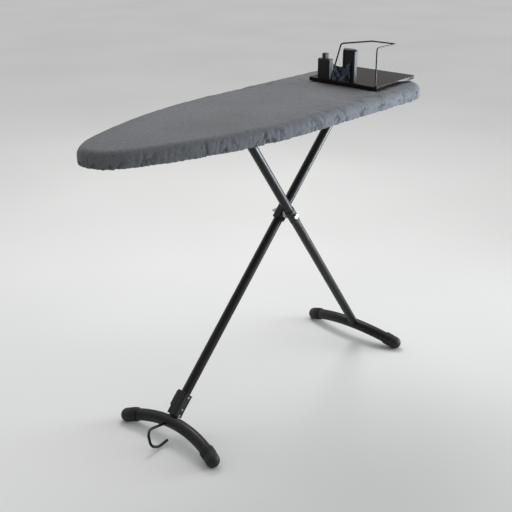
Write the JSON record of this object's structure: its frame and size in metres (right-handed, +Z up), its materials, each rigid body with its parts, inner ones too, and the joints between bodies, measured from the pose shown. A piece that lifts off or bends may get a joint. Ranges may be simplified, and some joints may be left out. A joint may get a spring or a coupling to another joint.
{
  "type": "ironing board",
  "caption": "Free-standing ironing board with a padded fabric-covered top, folding scissor legs on arched feet, an iron rest tray on the heel and a release lever under the board.",
  "frame": {"origin": "on the floor under the middle of the board, at the centre of the object's base box", "axes": "+X from nose to heel along the board, +Y across it, +Z up from the floor"},
  "size_m": [1.2, 0.398, 1.0332],
  "materials": {
    "grey_steel": "satin powder coat",
    "black_steel": "satin black powder coat",
    "leg_enamel": "satin black powder coat",
    "felt": "needled felt",
    "cover_cloth": "mid-grey woven cotton",
    "string": "braided cord",
    "black_plastic": "moulded",
    "grey_plastic": "moulded",
    "zinc": "zinc plated",
    "tray_enamel": "gloss black enamel",
    "spring_steel": "bright wire",
    "gloss_black": "gloss",
    "blued_steel": "polished",
    "nylon": "moulded nylon",
    "foot_rubber": "satin"
  },
  "bodies": {
    "board": {"button_spring": "spring_steel", "cord_clamp": "black_plastic", "cover": "cover_cloth", "deck_plate": "grey_steel", "drawstring": "string", "drawstring_toggle": "black_plastic", "felt_pad": "felt", "guard_wire": "black_steel", "guide_rail_far": "black_steel", "guide_rail_near": "black_steel", "heel_bracket": "black_steel", "heel_cross_bar": "grey_steel", "heel_pin": "zinc", "heel_stop": "gloss_black", "heel_stop_cap": "gloss_black", "lock_rod": "zinc", "middle_cross_bar": "grey_steel", "nose_cross_bar": "grey_steel", "rail_screws": "zinc", "rest_saddle": "blued_steel", "rest_tray": "tray_enamel", "rim_tube": "grey_steel", "tray_bolts": "zinc", "tray_spacers": "black_plastic"},
    "leg_a": {"leg_a_tube": "leg_enamel", "leg_a_end_plug": "black_plastic", "foot_a_tube": "leg_enamel", "foot_a_cap_near": "foot_rubber", "foot_a_cap_far": "foot_rubber", "pivot_collar_a": "black_plastic", "pivot_bolt": "black_steel", "pivot_nut": "black_steel", "pivot_spacer": "black_plastic", "catch_housing": "black_plastic", "catch_screws": "zinc", "catch_arm_screw": "black_steel", "hanging_hook": "black_steel"},
    "leg_b": {"leg_b_tube": "leg_enamel", "leg_b_end_plug": "black_plastic", "foot_b_tube": "leg_enamel", "foot_b_cap_near": "foot_rubber", "foot_b_cap_far": "foot_rubber", "pivot_collar_b": "black_plastic", "pivot_bush": "nylon"},
    "carriage": {"carriage": "black_steel", "carriage_shoes": "nylon", "slider_pin": "zinc", "lock_plate_pin": "zinc", "lever_pin": "zinc", "lever_spring": "spring_steel"},
    "release_lever": {"release_lever": "black_steel", "lever_grip": "black_plastic"},
    "lock_plate": {"lock_plate": "spring_steel"},
    "catch_arm": {"catch_arm": "black_plastic"},
    "clamp_button": {"clamp_button": "grey_plastic"}
  },
  "joints": [
    {"name": "fold", "type": "hinge", "parent": "board", "child": "leg_a", "pos_m": [0.42214, 0.019, 0.836], "axis": [0, 1, 0], "range_deg": [0, 45.7]},
    {"name": "crossing_pivot", "type": "hinge", "parent": "leg_a", "child": "leg_b", "pos_m": [0.145, 0, 0.552], "axis": [0, 1, 0], "range_deg": [-99.9, 0]},
    {"name": "slider_pivot", "type": "hinge", "parent": "leg_b", "child": "carriage", "pos_m": [-0.05983, -0.019, 0.836], "axis": [0, 1, 0], "range_deg": [0, 54.2]},
    {"name": "lever_squeeze", "type": "hinge", "parent": "carriage", "child": "release_lever", "pos_m": [-0.03583, -0.0378, 0.847], "axis": [-1, 0, 0], "range_deg": [0, 10], "stiffness_Nm_per_rad": 0.6, "springref_deg": -20.05},
    {"name": "lock_tilt", "type": "hinge", "parent": "carriage", "child": "lock_plate", "pos_m": [-0.03583, -0.014, 0.87], "axis": [0, 0, 1], "range_deg": [0, 5]},
    {"name": "catch_swing", "type": "hinge", "parent": "leg_a", "child": "catch_arm", "pos_m": [-0.3127, 0.04, 0.08298], "axis": [0, -1, 0], "range_deg": [0, 90]},
    {"name": "clamp_press", "type": "slide", "parent": "board", "child": "clamp_button", "axis": [0, 0, -1], "range_m": [0, 0.004], "stiffness_N_per_m": 500, "springref_m": -0.002, "deforming": ["button_spring"]}
  ],
  "couplings": [
    {"joint": "crossing_pivot", "follows": "fold", "ratio": -2.1859},
    {"joint": "slider_pivot", "follows": "fold", "ratio": 1.1859},
    {"joint": "lock_tilt", "follows": "lever_squeeze", "ratio": 0.5}
  ]
}
